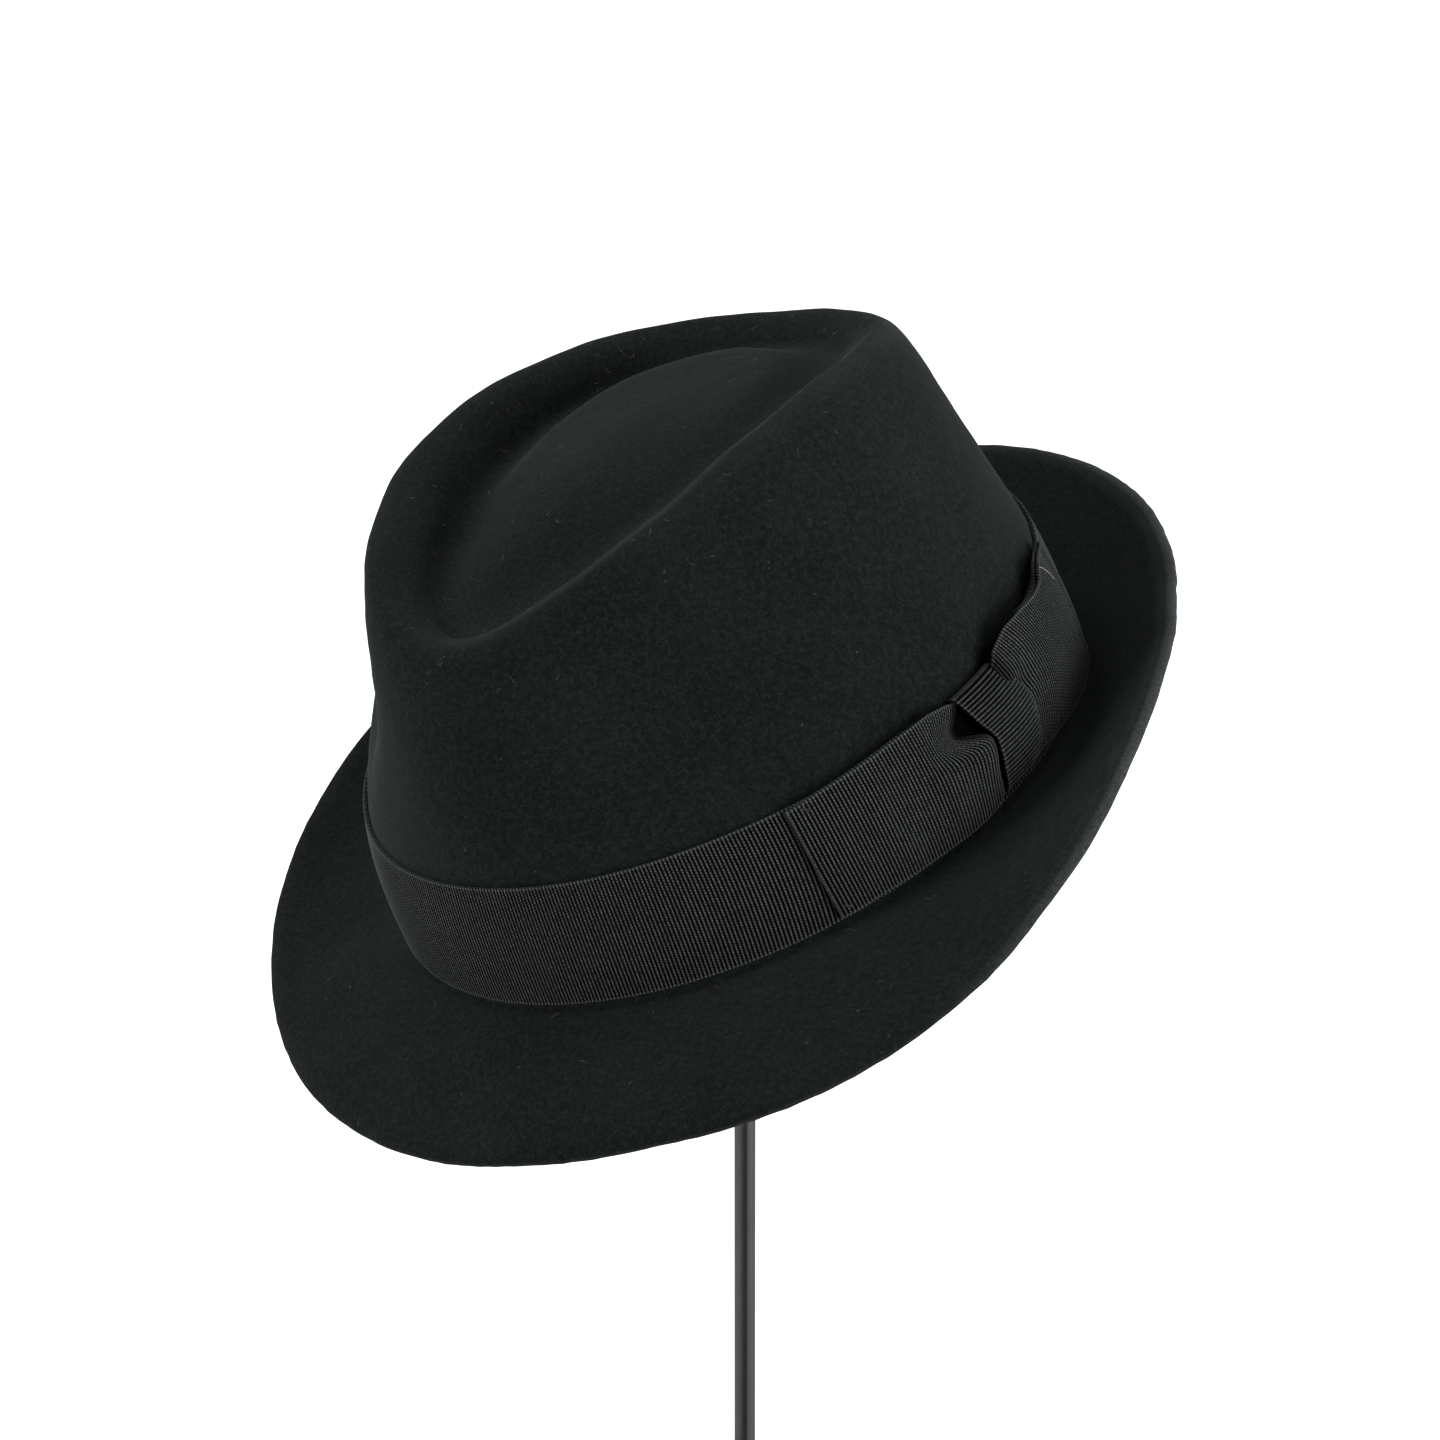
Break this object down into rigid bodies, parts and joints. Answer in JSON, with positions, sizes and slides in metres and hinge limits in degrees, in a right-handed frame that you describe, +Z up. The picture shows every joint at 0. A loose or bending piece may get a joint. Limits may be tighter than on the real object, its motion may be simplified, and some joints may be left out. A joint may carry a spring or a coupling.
{
  "type": "trilby on a hat stand",
  "caption": "Dark felt trilby with a creased teardrop crown, pinched front, brim turned down at the front and up at the back, ribbed ribbon and side bow, on a plain rod stand.",
  "frame": {"origin": "centre of the flat underside of the stand's foot", "axes": "+Z up along the stand's rod, -Y towards the hat's front, +X towards the wearer's left"},
  "size_m": [0.2312, 0.2794, 0.3931],
  "materials": {
    "felt": "short napped wool felt, matt",
    "ribbon": "cross-ribbed ribbon, faint sheen",
    "stand_metal": "dull grey steel"
  },
  "bodies": {
    "root": {"felt_body": "felt", "ribbon_band": "ribbon", "bow_front_loop": "ribbon", "bow_rear_loop": "ribbon", "bow_knot": "ribbon", "stand_top": "stand_metal", "stand_rod": "stand_metal", "stand_foot": "stand_metal"}
  },
  "joints": []
}
